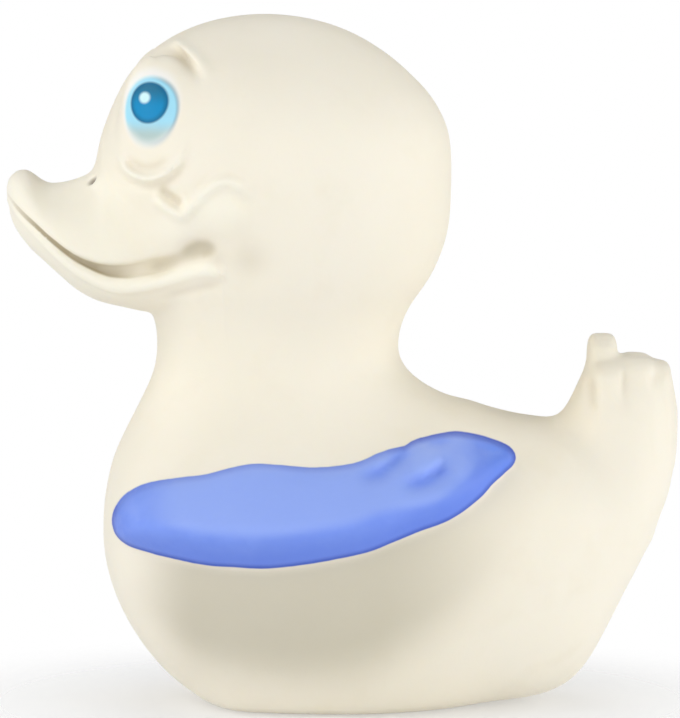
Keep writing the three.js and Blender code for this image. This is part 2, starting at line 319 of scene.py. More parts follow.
class Map:
    """a value over the side view, y by z"""

    def __init__(self, y0, y1, z0, z1, h):
        self.y0, self.z0, self.h = y0, z0, h
        self.ny, self.nz = int((y1 - y0) / h) + 1, int((z1 - z0) / h) + 1
        self.v = np.zeros((self.ny, self.nz))
        self.Y, self.Z = np.meshgrid(y0 + h * np.arange(self.ny), z0 + h * np.arange(self.nz), indexing="ij")

    def __call__(self, y, z, outside=0.0):
        a, b = (y - self.y0) / self.h, (z - self.z0) / self.h
        ok = (a >= 0) & (b >= 0) & (a < self.ny - 1) & (b < self.nz - 1)
        a, b = np.clip(a, 0, self.ny - 1.001), np.clip(b, 0, self.nz - 1.001)
        i, j = a.astype(int), b.astype(int)
        s, t = a - i, b - j
        v = self.v
        r = v[i, j]*(1-s)*(1-t) + v[i+1, j]*s*(1-t) + v[i, j+1]*(1-s)*t + v[i+1, j+1]*s*t
        return np.where(ok, r, outside)

    def near(self, pts, reach):
        lo, hi = pts.min(0) - reach, pts.max(0) + reach
        i0, i1 = max(int((lo[0] - self.y0) / self.h), 0), min(int((hi[0] - self.y0) / self.h) + 2, self.ny)
        j0, j1 = max(int((lo[1] - self.z0) / self.h), 0), min(int((hi[1] - self.z0) / self.h) + 2, self.nz)
        return slice(i0, i1), slice(j0, j1)


def along(pts, Y, Z):
    """distance to an open line and how far along it, 0 to 1"""
    best = np.full(Y.shape, 1e9)
    pos = np.zeros(Y.shape)
    seg = np.linalg.norm(np.diff(pts, axis=0), axis=1)
    total = seg.sum()
    run = 0.0
    for (a, b), L in zip(zip(pts[:-1], pts[1:]), seg):
        d = (b - a) / max(L, 1e-9)
        t = np.clip((Y - a[0]) * d[0] + (Z - a[1]) * d[1], 0, L)
        r = np.hypot(Y - a[0] - t * d[0], Z - a[1] - t * d[1])
        m = r < best
        best[m] = r[m]
        pos[m] = (run + t[m]) / total
        run += L
    return best, pos


def trunk(x, y, z):
    """body and head"""
    return smin(dist(g_body, x, y, z), dist(g_head, x, y, z), 5.0)


def plain(x, y, z):
    """everything but the wings and the small relief"""
    f = smin(trunk(x, y, z), dist(g_tail, x, y, z), 3.0)
    for g in FEATHERS:
        f = smin(f, dist(g_feather(g), x, y, z), 1.3)
    u, l = f_bill(x, y, z)
    f = smin(smin(f, u, 2.2), l, 0.9)
    f = smin(f, f_mouth(x, y, z), 0.5)
    return smin(f, f_eye(x, y, z), 2.5)


def seen(F, pts, lift=0.0):
    """x, y, z on the skin F of what is seen at each column and row"""
    p = np.asarray(pts, float)
    X = np.linspace(40.0, 0.5, 160)
    y, z = side(p[:, :1], p[:, 1:], X[None, :])
    f = F(np.broadcast_to(X, y.shape).ravel(), y.ravel(), z.ravel()).reshape(y.shape)
    i = np.maximum((f < 0).argmax(1), 1)
    k = np.arange(len(p))
    a, b = f[k, i - 1], f[k, i]
    x = np.where((f < 0).any(1), X[i - 1] + (X[i] - X[i - 1]) * a / np.where(a == b, 1.0, a - b), 0.5) + lift
    return np.stack([x, *side(p[:, 0], p[:, 1], x)], 1)


RELIEF = Map(-51.0, 50.0, 30.0, 102.0, 0.12)


def stroke(points, amp, half, start=0.25, end=0.25):
    pts = curve(seen(plain, points)[:, 1:])
    s = RELIEF.near(pts, 3.2 * half)
    d, t = along(pts, RELIEF.Y[s], RELIEF.Z[s])
    w = amp * np.exp(-(d / half) ** 2)
    if start > 0:
        w = w * sstep(0, start, t)
    if end > 0:
        w = w * sstep(0, end, 1 - t)
    RELIEF.v[s] += w


def bump(col, row, amp, half_y, half_z, turn=0.0):
    _, y, z = seen(plain, [(col, row)])[0]
    c, s = math.cos(turn), math.sin(turn)
    u = (RELIEF.Y - y) * c + (RELIEF.Z - z) * s
    v = -(RELIEF.Y - y) * s + (RELIEF.Z - z) * c
    RELIEF.v += amp * np.exp(-(u / half_y) ** 2 - (v / half_z) ** 2)


# brow: a rolled ridge over a crease
stroke([(153, 44), (157, 40), (164, 38), (174, 40.5), (187, 50.5), (198, 62), (206, 73), (211, 83)], 1.0, 0.95, 0.12, 0.4)
stroke([(150, 51), (156, 47.5), (164, 46), (175, 50), (187, 60), (197, 72), (203, 83)], -1.2, 0.95, 0.1, 0.4)
# lower lid: a roll round the dome, between a crease above and one below
stroke([(116, 148), (122, 161), (130, 172), (146, 178.5), (163, 174), (176.5, 163), (184, 149), (187, 134)], 0.95, 0.62, 0.22, 0.4)
stroke([(124, 152), (131, 161), (140, 166.5), (149, 168), (159, 165), (168, 158), (174, 149)], -0.55, 0.75, 0.3, 0.4)
stroke([(112, 156), (117, 170), (129, 182), (148, 187), (167, 182), (184, 168), (192, 150), (195, 133)], -0.45, 0.7, 0.25, 0.45)
# cheek: folds under the eye and the lit edge below them
stroke([(157, 188), (168, 195), (180, 203), (186, 203)], -0.9, 0.8, 0.25, 0.2)
stroke([(187, 203), (194, 194), (205, 182), (216, 175), (228, 172)], -0.6, 0.8, 0.15, 0.6)
stroke([(152, 193), (160, 202), (171, 210), (181, 214.5), (188, 209), (199, 195.5), (213, 185), (228, 181.5), (242, 188.5), (254, 202)], 1.05, 0.9, 0.1, 0.3)
stroke([(232, 193), (243, 201), (249, 213)], -0.3, 0.9, 0.3, 0.4)
bump(222, 212, 0.8, 4.2, 3.2)
bump(172, 232, 0.5, 3.6, 2.4)
# corner of the mouth
stroke([(142, 269), (160, 265.5), (180, 258), (190, 252), (200, 248.5), (209, 250.5), (216, 257)], -0.7, 1.05, 0.2, 0.15)
stroke([(178, 258), (188, 252.5), (197, 248.5), (205, 249), (212, 253.5), (216, 259)], -0.75, 1.6, 0.45, 0.3)
bump(250, 262, -0.5, 3.2, 3.0)
# crease under the lower lip's round end
stroke([(150, 299), (180, 293), (205, 287), (220, 284), (227, 275)], -0.4, 0.75, 0.4, 0.3)
# nostril rim, and the grooves between the tail's feathers
bump(93, 180, 0.35, 1.1, 1.0)
stroke([(590.5, 378), (591, 392), (592, 404), (593, 416)], -0.4, 0.6, 0.2, 0.35)
stroke([(621, 366), (622.5, 380), (624, 394), (626, 410), (628, 424)], -0.22, 0.7, 0.25, 0.4)
stroke([(651, 370), (652, 382), (653, 396)], -0.25, 0.55, 0.3, 0.5)

# wing outline, columns and rows: the lower edge from front to tip, and the upper edge back
WING_LOW = [
    (113, 521), (114.5, 529), (117.3, 534.8), (127.3, 543.4), (147.4, 550.6), (176, 557.8), (204.8, 563.5), (233.5, 565.8),
    (262.2, 567), (291, 565), (319.6, 560.7), (345, 556), (367, 551), (384, 544.5), (402, 537), (420, 529.5), (439, 523),
    (451, 517.5), (463, 510), (473, 502), (482, 494), (492, 482.5), (504, 471.5), (512, 464)]
WING_UP = [
    (514.5, 457), (511.5, 450.5), (503, 444.5), (485, 438), (467, 434), (453, 433), (438, 435.2), (424, 438.5), (413, 442),
    (406, 447), (398, 448.8), (381, 453.5), (359.8, 463), (342.6, 466.8), (319.6, 468.8), (296.7, 468.2), (273.7, 465.9),
    (250.7, 465.4), (227.8, 470.2), (204.8, 476), (176, 479.4), (147.4, 484.6), (127.3, 494.6), (116, 508.5)]


class Edge(Map):
    """distance to a line over the wing's part of the side view"""

    def __init__(self, pts):
        super().__init__(-37.0, 30.0, 16.0, 48.0, 0.15)
        self.v, _ = along(pts, self.Y, self.Z)


# the body draws in under the wing: column, wing's lower edge row, end of the hollow row, depth mm
HOLLOW = np.array([
    [120, 538, 590, 0], [140, 548, 610, 0.5], [160, 554, 625, 1.1], [190, 561, 643, 2.0], [220, 565, 654, 2.5],
    [250, 566, 661, 2.8], [280, 566, 665, 2.9], [310, 562, 666, 2.9], [340, 557, 661, 2.8], [370, 550, 648, 2.6],
    [400, 538, 632, 2.2], [430, 526, 610, 1.7], [460, 512, 585, 1.1], [490, 486, 555, 0.5], [520, 460, 530, 0]])
hol_a = Tab(cy(HOLLOW[:, 0]), rz(HOLLOW[:, 1]) + 2.6, 1.5)
hol_b = Tab(cy(HOLLOW[:, 0]), rz(HOLLOW[:, 2]) + 2.2, 1.5)
hol_d = Tab(cy(HOLLOW[:, 0]), HOLLOW[:, 3], 2.0)
hol_p = Tab([-1.0, -0.3, -0.1, 0.1, 0.33, 0.6, 0.85, 1.0, 1.2, 1.4, 1.6, 3.0], [0, 0, 0.03, 0.17, 0.42, 0.76, 0.96, 0.92, 0.5, 0.15, 0, 0], 0.06, 2.0, 0.01)


def hollow(y, z):
    a = hol_a(y)
    return np.maximum(hol_d(y), 0) * hol_p((a - z) / np.maximum(a - hol_b(y), 3.0))


def flank(x, y, z):
    return trunk(x, y, z) + hollow(y, z) * sstep(6.0, 14.0, x)


wing_pts = curve(seen(flank, WING_LOW + WING_UP)[:, 1:], 6, closed=True)
_n = 6 * len(WING_LOW)
WINGMAP = Edge(np.vstack([wing_pts, wing_pts[:1]]))
WLOW = Edge(wing_pts[:_n - 3])
WTOP = Edge(np.vstack([wing_pts[_n - 3:], wing_pts[:1]]))
_in = np.zeros(WINGMAP.v.shape, bool)
for (ya, za), (yb, zb) in zip(wing_pts, np.roll(wing_pts, -1, 0)):
    if za != zb:
        _in ^= ((za > WINGMAP.Z) != (zb > WINGMAP.Z)) & (WINGMAP.Y < (yb - ya) * (WINGMAP.Z - za) / (zb - za) + ya)
WINGMAP.v = np.where(_in, WINGMAP.v, -WINGMAP.v)
WINGREL = Map(-37.0, 30.0, 16.0, 48.0, 0.15)


def wing_stroke(points, amp, half, start=0.2, end=0.2):
    pts = curve(seen(flank, points, 2.5)[:, 1:])
    s = WINGREL.near(pts, 3.2 * half)
    d, t = along(pts, WINGREL.Y[s], WINGREL.Z[s])
    w = amp * np.exp(-(d / half) ** 2)
    WINGREL.v[s] += w * (sstep(0, start, t) if start > 0 else 1) * (sstep(0, end, 1 - t) if end > 0 else 1)


# creases between the flight feathers, and the rounded feathers between them
wing_stroke([(352, 474), (366, 477), (379, 474.5), (390, 467), (400, 459), (406, 449)], -1.15, 0.95, 0.45, 0.03)
wing_stroke([(394, 486), (406, 485.5), (419, 483), (432, 477.5), (443, 469), (449, 457)], -1.15, 0.92, 0.4, 0.3)
wing_stroke([(424, 447), (433, 443.5), (442, 442.5), (456, 442.5)], -1.0, 0.75, 0.3, 0.5)
wing_stroke([(470, 447), (485, 449), (500, 454)], -0.6, 0.8, 0.4, 0.3)
wing_stroke([(412, 470), (424, 463), (434, 456), (444, 452)], 0.6, 1.4, 0.3, 0.3)
wing_stroke([(372, 464), (384, 461), (394, 455)], 0.35, 0.8, 0.3, 0.3)
wing_stroke([(452, 478), (462, 468), (472, 458)], 0.4, 1.2, 0.3, 0.3)
wing_stroke([(278, 478), (298, 480), (322, 477)], -0.14, 0.6, 0.4, 0.4)
wing_stroke([(286, 471), (303, 473), (318, 471)], -0.10, 0.5, 0.4, 0.4)

wing_h = Tab(cy([113, 130, 160, 200, 300, 380, 420, 450, 480, 500, 514]), [2.4, 2.9, 3.3, 3.5, 3.5, 3.2, 2.8, 2.4, 1.9, 1.5, 1.1], 2.0)
wing_l = Tab(cy([113, 130, 160, 200, 300, 380, 420, 450, 480, 500, 514]), [2.4, 3.2, 4.0, 4.5, 4.6, 4.2, 3.7, 3.1, 2.3, 1.7, 1.2], 2.0)
wing_u = Tab(cy([113, 130, 160, 200, 280, 380, 440, 480, 500, 514]), [2.6, 3.8, 5.8, 7.4, 9.0, 9.0, 8.4, 6.0, 3.6, 2.0], 2.0)


def wing_rise(y, z):
    """stands proud most at a ridge along its lower third and rolls under below it"""
    d, lo, up = WINGMAP(y, z, -5.0), WLOW(y, z, 9.0), WTOP(y, z, 9.0)
    f = smin(lo / wing_l(y), 0.16 + 0.84 * up / wing_u(y), 0.6)
    f = 1.1 * f * np.sqrt(1 - (1 - np.clip(up / 1.3, 0, 1)) ** 2)
    rim = 0.5 * np.sqrt(1 - (1 - np.clip(d / 0.8, 0, 1)) ** 2)
    return np.where(d > 0, wing_h(y) * f + rim + WINGREL(y, z) * sstep(0.0, 1.2, d), 0.0)


NOSE = seen(plain, [(92.5, 181.0)])[0]


def relief_on(x, y, z):
    """the relief fades out towards the middle plane, sooner on the brow and face than on the tail and bill"""
    t = sstep(75.0, 79.0, z) * sstep(10.0, -5.0, y)
    return sstep(1.5, 4.0, x) * (1 - t) + sstep(4.0, 10.0, x) * t



def field(x, y, z):
    x = np.abs(x)
    y = y - SHIFT_Y
    f = flank(x, y, z) - wing_rise(y, z) * sstep(5.0, 9.0, x)
    f = smin(f, dist(g_tail, x, y, z), 3.0)
    for g in FEATHERS:
        f = smin(f, dist(g_feather(g), x, y, z), 1.3)
    u, l = f_bill(x, y, z)
    f = smin(smin(f, u, 2.2), l, 0.9)
    f = smin(f, f_mouth(x, y, z), 0.5)
    f = smin(f, f_eye(x, y, z), 2.5)
    f = f - RELIEF(y, z) * relief_on(x, y, z)
    f = f + 0.75 * np.exp(-((x - NOSE[0]) ** 2 + (y - NOSE[1]) ** 2 + (z - NOSE[2]) ** 2) / 0.75)
    return smax(f, -z, 1.6)


# ---- the mesh ---------------------------------------------------------------
def axis(segments):
    out = [np.array([segments[0][0]])]
    for a, b, h in segments:
        out.append(np.linspace(a, b, max(1, int(round((b - a) / h))) + 1)[1:])
    return np.concatenate(out)


def sample(F, G, band=2.6, coarse=2.0):
    """the field on a graded grid, worked out only near the skin"""
    C = [np.arange(g[0] - coarse, g[-1] + 2 * coarse, coarse) for g in G]
    M = np.meshgrid(*C, indexing="ij")
    A = F(*(m.ravel() for m in M)).reshape(M[0].shape)
    for k in range(3):
        i = np.clip(np.searchsorted(C[k], G[k]) - 1, 0, len(C[k]) - 2)
        t = (G[k] - C[k][i]) / coarse
        t = t.reshape([-1 if j == k else 1 for j in range(3)])
        A = np.take(A, i, k) * (1 - t) + np.take(A, i + 1, k) * t
    I = np.argwhere(np.abs(A) < band)
    A[I[:, 0], I[:, 1], I[:, 2]] = F(G[0][I[:, 0]], G[1][I[:, 1]], G[2][I[:, 2]])
    return A


def nets(V, G):
    n = np.array(V.shape)
    cnt = np.zeros(n - 1)
    P = np.zeros((*(n - 1), 3))
    for ax in range(3):
        o = [i for i in range(3) if i != ax]
        lo, hi = [slice(None)] * 3, [slice(None)] * 3
        lo[ax], hi[ax] = slice(0, -1), slice(1, None)
        a, b = V[tuple(lo)], V[tuple(hi)]
        idx = np.argwhere((a < 0) != (b < 0))
        va, vb = a[tuple(idx.T)], b[tuple(idx.T)]
        t = va / (va - vb)
        pos = np.stack([G[d][idx[:, d]] for d in range(3)], 1)
        pos[:, ax] += t * (G[ax][idx[:, ax] + 1] - G[ax][idx[:, ax]])
        for u in (0, 1):
            for v in (0, 1):
                c = idx.copy()
                c[:, o[0]] -= u
                c[:, o[1]] -= v
                ok = (c >= 0).all(1) & (c < n - 1).all(1)
                k = tuple(c[ok].T)
                np.add.at(cnt, k, 1)
                np.add.at(P, k, pos[ok])
    act = cnt > 0
    vid = np.full(cnt.shape, -1)
    vid[act] = np.arange(act.sum())
    verts = P[act] / cnt[act][:, None]
    s = V < 0
    quads = []
    for ax in range(3):
        o = [i for i in range(3) if i != ax]
        lo, hi = [slice(1, -1)] * 3, [slice(1, -1)] * 3
        lo[ax], hi[ax] = slice(0, -1), slice(1, None)
        a, b = s[tuple(lo)], s[tuple(hi)]
        cr = a != b
        base = np.argwhere(cr)
        base[:, o[0]] += 1
        base[:, o[1]] += 1

        def cell(u, v):
            c = base.copy()
            c[:, o[0]] -= u
            c[:, o[1]] -= v
            return vid[tuple(c.T)]

        q = np.stack([cell(1, 1), cell(0, 1), cell(0, 0), cell(1, 0)], 1)
        out = a[cr] if ax != 1 else ~a[cr]
        q[~out] = q[~out][:, ::-1]
        quads.append(q)
    return verts, np.concatenate(quads)


def settle(F, v, rounds=3, e=0.02, cap=0.25):
    """move the vertices onto the skin"""
    for _ in range(rounds):
        x, y, z = v.T
        f = F(x, y, z)
        g = np.stack([F(x + e, y, z) - F(x - e, y, z), F(x, y + e, z) - F(x, y - e, z), F(x, y, z + e) - F(x, y, z - e)], 1) / (2 * e)
        d = (f / np.maximum((g * g).sum(1), 0.7))[:, None] * g
        L = np.linalg.norm(d, axis=1, keepdims=True)
        v = v - d * np.minimum(1, cap / np.maximum(L, 1e-9))
    return v


FINE = 1.0
half_x = axis([(0.0, 20.0, 0.58 * FINE), (20.0, 36.5, 0.78 * FINE)]) + 0.29 * FINE
GRID = (
    np.concatenate([-half_x[::-1], half_x]),
    axis([(-50.0, -45.5, 0.3 * FINE), (-45.5, -14.0, 0.42 * FINE), (-14.0, 34.0, 0.9 * FINE), (34.0, 50.5, 0.55 * FINE)]),
    axis([(-1.0, 18.0, 0.95 * FINE), (18.0, 45.0, 0.65 * FINE), (45.0, 55.0, 0.6 * FINE), (55.0, 78.0, 0.38 * FINE), (78.0, 98.0, 0.48 * FINE), (98.0, 102.0, 0.6 * FINE)]),
)
verts, quads = nets(sample(field, GRID), GRID)
verts = settle(field, verts)
PAIRS = np.vstack([quads[:, [i, (i + 1) % 4]] for i in range(4)])


def even(v, weight):
    """draw each vertex towards the middle of its neighbours; without a weight, only those that stick out"""
    total, count = np.zeros_like(v), np.zeros(len(v))
    for a, b in (PAIRS.T, PAIRS[:, ::-1].T):
        np.add.at(total, a, v[b])
        np.add.at(count, a, 1)
    d = total / np.maximum(count, 1)[:, None] - v
    if weight is None:
        weight = sstep(0.14, 0.3, np.linalg.norm(d, axis=1)) * sstep(55.0, 57.0, v[:, 2])
    return v + weight[:, None] * d


_x, _y, _z = np.abs(verts[:, 0]), verts[:, 1] - SHIFT_Y, verts[:, 2]
_g = np.abs(_z - 0.5 * (up_m(_y) + lo_m(_y))) - 0.5 * (up_m(_y) - lo_m(_y))
_p = plan(up_w2, _x, _y)
tight = sstep(0.75, 0.25, _g) * sstep(-4.0, -3.0, _p) * sstep(1.6, 1.0, _p) * sstep(float(cy(185)), float(cy(165)), _y)
verts = even(verts, 0.3 * sstep(55.0, 57.0, _z))
for _ in range(4):
    verts = even(verts, 0.6 * tight)
for _ in range(3):
    verts = even(verts, None)
rim = sstep(1.5, 0.6, np.abs(WINGMAP(_y, _z, -5.0))) * sstep(6.0, 9.0, _x)
for _ in range(3):
    verts = even(verts, 0.5 * rim)

me = bpy.data.meshes.new("duck_skin")
me.from_pydata((verts / 1000.0).tolist(), [], quads.tolist())
me.validate()
me.update()
me.polygons.foreach_set("use_smooth", np.ones(len(me.polygons), bool))
duck = bpy.data.objects.new("duck_skin", me)
bpy.context.scene.collection.objects.link(duck)
print("SKIN", len(me.vertices), "verts", sum(len(p.vertices) - 2 for p in me.polygons), "triangles")

# what the paint needs, on each vertex: how far inside the wing outline it is,
# and where it lies on the eye's dome
ax = np.abs(verts[:, 0])
vy = verts[:, 1] - SHIFT_Y
wing_in = np.where(ax > 6.0, WINGMAP(vy, verts[:, 2], -5.0), -5.0)
rel = np.stack([ax, vy, verts[:, 2]], 1) - EYE_P
eye_u = np.clip(rel @ EYE_T, -20.0, 20.0)
eye_v = np.clip(rel[:, 2], -20.0, 20.0)
# painted light and shade on the wing: lighter along its upper middle and on its rounded feathers,
# darker in its creases, and as paint colour a deeper blue towards its tip; painted shadow on the bare rubber below the
# wing
wing_shadow_top = Tab(cy([113, 128, 176, 262, 345, 402, 451, 482, 512]), rz([530, 543, 558, 567, 556, 537, 517, 494, 464]), 1.0)
wing_shadow_bottom = Tab(cy([113, 160, 220, 300, 360, 400, 460, 520]), rz([600, 650, 690, 698, 690, 668, 625, 560]), 2.0)
vp = verts[:, 2] - (ax * SE / CE)
t = wing_shadow_top(vy) - vp
col = vy / K + 341.0
painted_wing_shadow = sstep(-1.4, 0.6, t) * sstep(-2.5, 8.5, vp - wing_shadow_bottom(vy)) * sstep(125, 200, col) * sstep(545, 375, col) * sstep(8.0, 14.0, ax)
_k = 1 - 0.32 * sstep(370, 430, col)
wing_shade_and_tint = 0.95 * sstep(3.4 * _k, 5.9 * _k, WLOW(vy, verts[:, 2], 9.0)) * sstep(130, 190, col) * sstep(515, 425, col) - 0.55 * sstep(466, 506, col) + 0.55 * WINGREL(vy, verts[:, 2])
# painted highlight on the ridges, the lip's roll and the bill, and painted shade in the creases, the mouth's gap and
# corner and the nostril
br = bead_r(vy)
bx, bz = plan(lo_w2, ax, vy) + br - 0.2, verts[:, 2] - lo_m(vy) + br
lip_highlight = np.exp(-((np.hypot(bx, bz) - br) / 0.3) ** 2) * sstep(-1.1, -0.2, bz / br) * sstep(30, 70, col) * sstep(226, 214, col)
gap = np.clip(np.abs(verts[:, 2] - 0.5 * (up_m(vy) + lo_m(vy))) - 0.5 * (up_m(vy) - lo_m(vy)), -2.0, 2.0)
gap_t = np.clip((verts[:, 2] - lo_m(vy)) / np.maximum(up_m(vy) - lo_m(vy), 0.2), 0.0, 1.0)
gap_shade_w = (1 - 0.45 * gap_t * sstep(60, 110, col)) * np.interp(col, [4, 12, 20, 40, 60, 100, 120, 140, 165, 185], [0, 0.15, 0.45, 0.9, 1.0, 1.0, 0.75, 0.3, 0.12, 0])
_c = curve(seen(plain, [(152, 267), (166, 264), (180, 258), (190, 253), (200, 249), (209, 251), (215, 256.5)])[:, 1:])
_d, _t = along(_c, vy, verts[:, 2])
mouth_corner_shade = np.exp(-(_d / np.interp(_t, [0, 0.4, 0.75, 1], [0.7, 1.0, 1.5, 1.3])) ** 2) * np.interp(_t, [0, 0.15, 0.7, 1], [0, 0.55, 1, 0.8]) * sstep(6.0, 10.0, ax)
nose = np.clip(np.sqrt((ax - NOSE[0]) ** 2 + (vy - NOSE[1]) ** 2 + (verts[:, 2] - NOSE[2]) ** 2), 0.0, 5.0)
relief_light_and_shade = np.clip(RELIEF(vy, verts[:, 2]) * relief_on(ax, vy, verts[:, 2]) * 0.9 + lip_highlight + 0.55 * sstep(160, 105, col) * sstep(57.0, 61.0, verts[:, 2]) * sstep(79.0, 75.0, verts[:, 2]), -1.0, 1.0)
wing_low = WLOW(vy, verts[:, 2], 9.0)
wing_rim_shade = np.maximum(sstep(4.0, 1.0, wing_low), 0.4 + 0.6 * sstep(370, 430, col))
for name, data in (("wing_in", wing_in), ("wing_low", wing_low), ("wing_rim_shade", wing_rim_shade), ("eye_u", eye_u), ("eye_v", eye_v), ("painted_wing_shadow", painted_wing_shadow), ("wing_shade_and_tint", wing_shade_and_tint), ("gap", gap), ("gap_shade_w", gap_shade_w), ("mouth_corner_shade", mouth_corner_shade), ("nose", nose), ("relief_light_and_shade", relief_light_and_shade)):
    at = me.attributes.new(name, "FLOAT", "POINT")
    at.data.foreach_set("value", data.astype(np.float32))


# ---- materials ---------------------------------------------------------------
def srgb(r, g, b):
    def f(c):
        c /= 255.0
        return c / 12.92 if c <= 0.04045 else ((c + 0.055) / 1.055) ** 2.4
    return (f(r), f(g), f(b), 1.0)


class Net:
    def __init__(self, name):
        self.mat = bpy.data.materials.new(name)
        self.mat.use_nodes = True
        self.t = self.mat.node_tree
        self.t.nodes.clear()

    def node(self, kind, **props):
        n = self.t.nodes.new(kind)
        for k, v in props.items():
            setattr(n, k, v)
        return n

    def put(self, socket, value):
        if isinstance(value, bpy.types.NodeSocket):
            self.t.links.new(value, socket)
        else:
            socket.default_value = value

    def math(self, op, a, b=0.0, c=0.0):
        n = self.node("ShaderNodeMath", operation=op)
        for s, v in zip(n.inputs, (a, b, c)):
            self.put(s, v)
        return n.outputs[0]

    def step(self, v, lo, hi, a=0.0, b=1.0):
        n = self.node("ShaderNodeMapRange", interpolation_type="SMOOTHSTEP")
        for s, w in zip(n.inputs, (v, lo, hi, a, b)):
            self.put(s, w)
        return n.outputs[0]

    def mix(self, f, a, b):
        n = self.node("ShaderNodeMix", data_type="RGBA")
        self.put(n.inputs[0], f)
        self.put(n.inputs[6], a)
        self.put(n.inputs[7], b)
        return n.outputs[2]

    def blend(self, f, a, b):
        n = self.node("ShaderNodeMix", data_type="FLOAT")
        self.put(n.inputs[0], f)
        self.put(n.inputs[2], a)
        self.put(n.inputs[3], b)
        return n.outputs[0]

    def attr(self, name):
        return self.node("ShaderNodeAttribute", attribute_name=name).outputs["Fac"]

    def noise(self, vec, scale, detail=3.0, rough=0.5):
        n = self.node("ShaderNodeTexNoise")
        self.put(n.inputs["Vector"], vec)
        n.inputs["Scale"].default_value = scale
        n.inputs["Detail"].default_value = detail
        n.inputs["Roughness"].default_value = rough
        return n.outputs["Fac"]

    def bumpy(self, height, strength, distance, normal=None):
        n = self.node("ShaderNodeBump")
        n.inputs["Strength"].default_value = strength
        n.inputs["Distance"].default_value = distance
        self.put(n.inputs["Height"], height)
        if normal is not None:
            self.put(n.inputs["Normal"], normal)
        return n.outputs[0]


N = Net("rubber_and_paint")
obj = N.node("ShaderNodeTexCoord").outputs["Object"]
broad = N.noise(obj, 28.0, 2.0)
cloud = N.noise(obj, 90.0, 4.0, 0.6)
grain = N.noise(obj, 2600.0, 3.0, 0.55)
speck = N.noise(obj, 900.0, 2.0)

# cream natural rubber, slightly uneven in tone
cream = N.mix(N.step(broad, 0.35, 0.65), srgb(247, 240, 222), srgb(251, 244, 228))
cream = N.mix(N.math("MULTIPLY", N.step(cloud, 0.5, 0.75), 0.35), cream, srgb(243, 235, 214))

# painted shadow: the bare rubber below the wing is darkened where the wing's shadow falls
cream = N.mix(N.math("MULTIPLY", N.attr("painted_wing_shadow"), 0.7), cream, srgb(200, 194, 173))
# painted highlight on the ridges, the lip's roll and the bill
cream = N.mix(N.math("MULTIPLY", N.step(N.attr("relief_light_and_shade"), 0.0, 1.0), 0.75), cream, srgb(255, 250, 233))
# painted shade in the creases
cream = N.mix(N.math("MULTIPLY", N.step(N.attr("relief_light_and_shade"), 0.0, -1.0), 0.7), cream, srgb(212, 203, 180))
# painted shade in the corner of the mouth
cream = N.mix(N.math("MULTIPLY", N.attr("mouth_corner_shade"), 0.36), cream, srgb(206, 197, 174))
# painted shade in the mouth's gap between the lips
cream = N.mix(N.math("MULTIPLY", N.step(N.attr("gap"), 0.14, -0.22), N.attr("gap_shade_w")), cream, srgb(176, 163, 134))
# painted shade in the nostril
cream = N.mix(N.step(N.attr("nose"), 1.15, 0.35), cream, srgb(158, 148, 134))

# wing paint: brushed on over the relief, with painted shade darkening its rim
wing = N.attr("wing_in")
edge = N.math("ADD", wing, N.math("MULTIPLY", N.math("SUBTRACT", N.noise(obj, 420.0, 2.0), 0.5), 0.15))
wing_mask = N.step(edge, -0.3, -0.12)
blue = N.mix(N.step(cloud, 0.35, 0.7), srgb(124, 155, 246), srgb(133, 163, 251))
# painted light and shade on the wing: lighter along its upper middle and on its rounded feathers, darker in its
# creases; as paint colour, a deeper blue towards its tip
blue = N.mix(N.step(N.attr("wing_shade_and_tint"), 0.0, 1.25), blue, srgb(156, 182, 255))
blue = N.mix(N.step(N.attr("wing_shade_and_tint"), 0.0, -1.0), blue, srgb(106, 150, 250))
# painted shade along the wing's lower band, which rolls under and faces down
blue = N.mix(N.math("MULTIPLY", N.step(N.attr("wing_low"), 4.3, 0.7), 0.42), blue, srgb(86, 122, 232))
# painted shade at the wing's rim, strongest along its lower edge and towards its tip
blue = N.mix(N.math("MULTIPLY", N.step(wing, 0.7, -0.25), N.attr("wing_rim_shade")), blue, srgb(74, 101, 205))
colour = N.mix(wing_mask, cream, blue)

# eye paint: pale ring, blue iris, and a painted highlight dot
u, v = N.attr("eye_u"), N.attr("eye_v")


def oval(cu, cv, ru, rv):
    a = N.math("DIVIDE", N.math("SUBTRACT", u, cu), ru)
    b = N.math("DIVIDE", N.math("SUBTRACT", v, cv), rv)
    return N.math("SQRT", N.math("ADD", N.math("MULTIPLY", a, a), N.math("MULTIPLY", b, b)))


white = oval(0.1, 0.9, 5.2, 6.0)
ring = oval(0.35, 0.42, 4.65, 5.0)
iris = oval(0.15, 1.6, 3.2, 3.0)
eye_glint = oval(-0.5, 2.3, 1.0, 0.88)
colour = N.mix(N.step(white, 1.05, 0.8), colour, srgb(250, 249, 243))
ringcol = N.mix(N.step(v, -0.6, -3.2), srgb(168, 228, 250), srgb(184, 207, 205))
ringcol = N.mix(N.math("MULTIPLY", N.step(ring, 0.84, 0.98), N.step(u, -0.5, 3.0)), ringcol, srgb(128, 168, 186))
colour = N.mix(N.blend(N.step(v, -0.5, -3.5), N.step(ring, 1.06, 0.88), N.step(ring, 1.14, 0.68)), colour, ringcol)
iriscol = N.mix(N.step(v, 3.9, 0.8), srgb(30, 116, 152), srgb(0, 144, 200))
iriscol = N.mix(N.step(iris, 0.66, 1.0), iriscol, srgb(14, 104, 146))
iris_mask = N.step(iris, 1.05, 0.9)
colour = N.mix(iris_mask, colour, iriscol)
# painted highlight: a light glint on the eye
colour = N.mix(N.step(eye_glint, 1.2, 0.55), colour, srgb(214, 250, 255))
eye_mask = N.step(white, 1.05, 0.85)

rough = N.blend(N.step(speck, 0.3, 0.7), 0.5, 0.6)
rough = N.blend(wing_mask, rough, N.blend(N.step(speck, 0.3, 0.7), 0.42, 0.52))
rough = N.blend(eye_mask, rough, 0.42)

